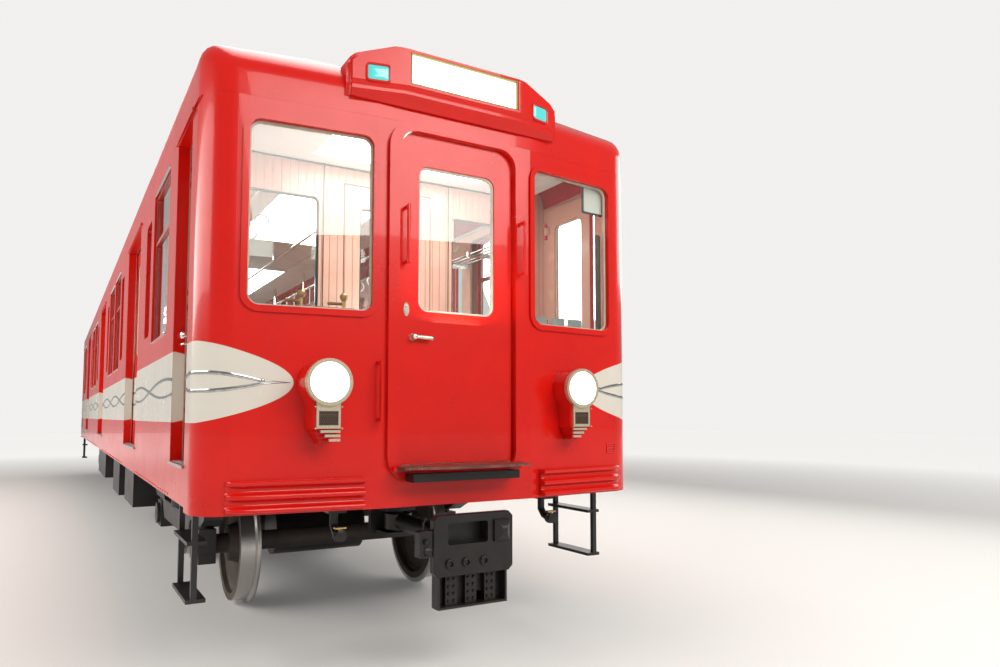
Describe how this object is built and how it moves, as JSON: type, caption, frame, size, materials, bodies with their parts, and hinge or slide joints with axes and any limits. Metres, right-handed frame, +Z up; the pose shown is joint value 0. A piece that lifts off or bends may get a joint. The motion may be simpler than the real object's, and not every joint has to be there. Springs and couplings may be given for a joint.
{
  "type": "subway car",
  "caption": "Double-ended steel subway car on swivelling bogies, with sliding passenger doors, end doors, folding step plates and couplers.",
  "frame": {"origin": "under the middle of the car, at the lowest point of the wheel flanges", "axes": "+X along the car to the end shown in the picture, +Y to its left, +Z up"},
  "size_m": [18, 2.814, 3.5228],
  "materials": {
    "body_paint": "gloss red enamel",
    "door_paint": "gloss red enamel",
    "underframe_black": "satin black",
    "coupler_steel": "dark oiled",
    "wheel_steel": "rolled steel",
    "cab_paint": "satin salmon paint",
    "lining_laminate": "laminate",
    "ceiling_white": "matt white",
    "bright_metal": "satin aluminium",
    "lamp_metal": "cream enamel",
    "clear_glass": "clear",
    "sign_glass": "lit opal glass",
    "seat_frame": "grey paint",
    "seat_cloth": "brown leathercloth"
  },
  "bodies": {
    "car_body": {"bench_cushions": "seat_cloth", "bench_frames": "seat_frame", "bulkheads": "cab_paint", "cab_fittings": "cab_paint", "ceiling": "ceiling_white", "door_hinges": "bright_metal", "door_rails": "bright_metal", "door_sills": "bright_metal", "end_glass": "clear_glass", "end_housings": "body_paint", "end_mouldings": "body_paint", "end_ribs": "body_paint", "end_wall_front": "body_paint", "end_wall_rear": "body_paint", "handrails": "body_paint", "headlamps": "lamp_metal", "lamp_glasses": "clear_glass", "linings": "lining_laminate", "rails_and_racks": "bright_metal", "rain_gutters": "body_paint", "roof": "body_paint", "sashes": "bright_metal", "side_glass": "clear_glass", "side_wall_left": "body_paint", "side_wall_right": "body_paint", "sign_faces": "sign_glass", "underfloor_gear": "underframe_black", "underframe": "underframe_black"},
    "bogie_front": {"bogie_frame_front": "underframe_black", "bogie_gear_front": "underframe_black"},
    "wheelset_front_a": {"wheelset_front_a": "wheel_steel"},
    "wheelset_front_b": {"wheelset_front_b": "wheel_steel"},
    "coupler_front": {"coupler_front": "coupler_steel"},
    "fall_plate_front": {"fall_plate_front": "coupler_steel"},
    "end_door_front": {"end_door_front": "door_paint"},
    "cab_door_front": {"cab_door_front": "cab_paint"},
    "crew_door_front_left": {"crew_door_front_left": "door_paint"},
    "crew_door_front_right": {"crew_door_front_right": "door_paint"},
    "bogie_rear": {"bogie_frame_rear": "underframe_black", "bogie_gear_rear": "underframe_black"},
    "wheelset_rear_a": {"wheelset_rear_a": "wheel_steel"},
    "wheelset_rear_b": {"wheelset_rear_b": "wheel_steel"},
    "coupler_rear": {"coupler_rear": "coupler_steel"},
    "fall_plate_rear": {"fall_plate_rear": "coupler_steel"},
    "end_door_rear": {"end_door_rear": "door_paint"},
    "cab_door_rear": {"cab_door_rear": "cab_paint"},
    "crew_door_rear_left": {"crew_door_rear_left": "door_paint"},
    "crew_door_rear_right": {"crew_door_rear_right": "door_paint"},
    "door_left_1a": {"door_left_1a": "door_paint"},
    "door_left_1b": {"door_left_1b": "door_paint"},
    "door_left_2a": {"door_left_2a": "door_paint"},
    "door_left_2b": {"door_left_2b": "door_paint"},
    "door_left_3a": {"door_left_3a": "door_paint"},
    "door_left_3b": {"door_left_3b": "door_paint"},
    "door_right_1a": {"door_right_1a": "door_paint"},
    "door_right_1b": {"door_right_1b": "door_paint"},
    "door_right_2a": {"door_right_2a": "door_paint"},
    "door_right_2b": {"door_right_2b": "door_paint"},
    "door_right_3a": {"door_right_3a": "door_paint"},
    "door_right_3b": {"door_right_3b": "door_paint"}
  },
  "joints": [
    {"name": "bogie_front_swivel", "type": "hinge", "parent": "car_body", "child": "bogie_front", "pos_m": [5.5, 0, 0.905], "axis": [0, 0, 1], "range_deg": [-6, 6]},
    {"name": "wheelset_front_a_turn", "type": "hinge", "parent": "bogie_front", "child": "wheelset_front_a", "pos_m": [6.6, 0, 0.458], "axis": [0, 1, 0], "continuous": true},
    {"name": "wheelset_front_b_turn", "type": "hinge", "parent": "bogie_front", "child": "wheelset_front_b", "pos_m": [4.4, 0, 0.458], "axis": [0, 1, 0], "continuous": true},
    {"name": "coupler_front_swing", "type": "hinge", "parent": "car_body", "child": "coupler_front", "pos_m": [7.9, 0, 0.718], "axis": [0, 0, 1], "range_deg": [-15, 15]},
    {"name": "fall_plate_front_lift", "type": "hinge", "parent": "car_body", "child": "fall_plate_front", "pos_m": [8.796, 0, 1.124], "axis": [0, -1, 0], "range_deg": [0, 85]},
    {"name": "end_door_front_swing", "type": "hinge", "parent": "car_body", "child": "end_door_front", "pos_m": [8.68, 0.38, 0], "axis": [0, 0, -1], "range_deg": [0, 90]},
    {"name": "cab_door_front_swing", "type": "hinge", "parent": "car_body", "child": "cab_door_front", "pos_m": [7.64, 0.332, 0], "axis": [0, 0, -1], "range_deg": [0, 90]},
    {"name": "crew_door_front_left_swing", "type": "hinge", "parent": "car_body", "child": "crew_door_front_left", "pos_m": [7.794, 1.273, 0], "axis": [0, 0, -1], "range_deg": [0, 88]},
    {"name": "crew_door_front_right_swing", "type": "hinge", "parent": "car_body", "child": "crew_door_front_right", "pos_m": [7.794, -1.273, 0], "axis": [0, 0, 1], "range_deg": [0, 88]},
    {"name": "bogie_rear_swivel", "type": "hinge", "parent": "car_body", "child": "bogie_rear", "pos_m": [-5.5, 0, 0.905], "axis": [0, 0, 1], "range_deg": [-6, 6]},
    {"name": "wheelset_rear_a_turn", "type": "hinge", "parent": "bogie_rear", "child": "wheelset_rear_a", "pos_m": [-4.4, 0, 0.458], "axis": [0, 1, 0], "continuous": true},
    {"name": "wheelset_rear_b_turn", "type": "hinge", "parent": "bogie_rear", "child": "wheelset_rear_b", "pos_m": [-6.6, 0, 0.458], "axis": [0, 1, 0], "continuous": true},
    {"name": "coupler_rear_swing", "type": "hinge", "parent": "car_body", "child": "coupler_rear", "pos_m": [-7.9, 0, 0.718], "axis": [0, 0, 1], "range_deg": [-15, 15]},
    {"name": "fall_plate_rear_lift", "type": "hinge", "parent": "car_body", "child": "fall_plate_rear", "pos_m": [-8.796, 0, 1.124], "axis": [0, 1, 0], "range_deg": [0, 85]},
    {"name": "end_door_rear_swing", "type": "hinge", "parent": "car_body", "child": "end_door_rear", "pos_m": [-8.68, -0.38, 0], "axis": [0, 0, -1], "range_deg": [0, 90]},
    {"name": "cab_door_rear_swing", "type": "hinge", "parent": "car_body", "child": "cab_door_rear", "pos_m": [-7.64, -0.332, 0], "axis": [0, 0, -1], "range_deg": [0, 90]},
    {"name": "crew_door_rear_left_swing", "type": "hinge", "parent": "car_body", "child": "crew_door_rear_left", "pos_m": [-7.794, 1.273, 0], "axis": [0, 0, 1], "range_deg": [0, 88]},
    {"name": "crew_door_rear_right_swing", "type": "hinge", "parent": "car_body", "child": "crew_door_rear_right", "pos_m": [-7.794, -1.273, 0], "axis": [0, 0, -1], "range_deg": [0, 88]},
    {"name": "door_left_1a_slide", "type": "slide", "parent": "car_body", "child": "door_left_1a", "axis": [1, 0, 0], "range_m": [0, 0.6]},
    {"name": "door_left_1b_slide", "type": "slide", "parent": "car_body", "child": "door_left_1b", "axis": [-1, 0, 0], "range_m": [0, 0.6]},
    {"name": "door_left_2a_slide", "type": "slide", "parent": "car_body", "child": "door_left_2a", "axis": [1, 0, 0], "range_m": [0, 0.6]},
    {"name": "door_left_2b_slide", "type": "slide", "parent": "car_body", "child": "door_left_2b", "axis": [-1, 0, 0], "range_m": [0, 0.6]},
    {"name": "door_left_3a_slide", "type": "slide", "parent": "car_body", "child": "door_left_3a", "axis": [1, 0, 0], "range_m": [0, 0.6]},
    {"name": "door_left_3b_slide", "type": "slide", "parent": "car_body", "child": "door_left_3b", "axis": [-1, 0, 0], "range_m": [0, 0.6]},
    {"name": "door_right_1a_slide", "type": "slide", "parent": "car_body", "child": "door_right_1a", "axis": [1, 0, 0], "range_m": [0, 0.6]},
    {"name": "door_right_1b_slide", "type": "slide", "parent": "car_body", "child": "door_right_1b", "axis": [-1, 0, 0], "range_m": [0, 0.6]},
    {"name": "door_right_2a_slide", "type": "slide", "parent": "car_body", "child": "door_right_2a", "axis": [1, 0, 0], "range_m": [0, 0.6]},
    {"name": "door_right_2b_slide", "type": "slide", "parent": "car_body", "child": "door_right_2b", "axis": [-1, 0, 0], "range_m": [0, 0.6]},
    {"name": "door_right_3a_slide", "type": "slide", "parent": "car_body", "child": "door_right_3a", "axis": [1, 0, 0], "range_m": [0, 0.6]},
    {"name": "door_right_3b_slide", "type": "slide", "parent": "car_body", "child": "door_right_3b", "axis": [-1, 0, 0], "range_m": [0, 0.6]}
  ],
  "couplings": [
    {"joint": "door_left_1b_slide", "follows": "door_left_1a_slide", "ratio": 1},
    {"joint": "door_left_2b_slide", "follows": "door_left_2a_slide", "ratio": 1},
    {"joint": "door_left_3b_slide", "follows": "door_left_3a_slide", "ratio": 1},
    {"joint": "door_right_1b_slide", "follows": "door_right_1a_slide", "ratio": 1},
    {"joint": "door_right_2b_slide", "follows": "door_right_2a_slide", "ratio": 1},
    {"joint": "door_right_3b_slide", "follows": "door_right_3a_slide", "ratio": 1}
  ]
}
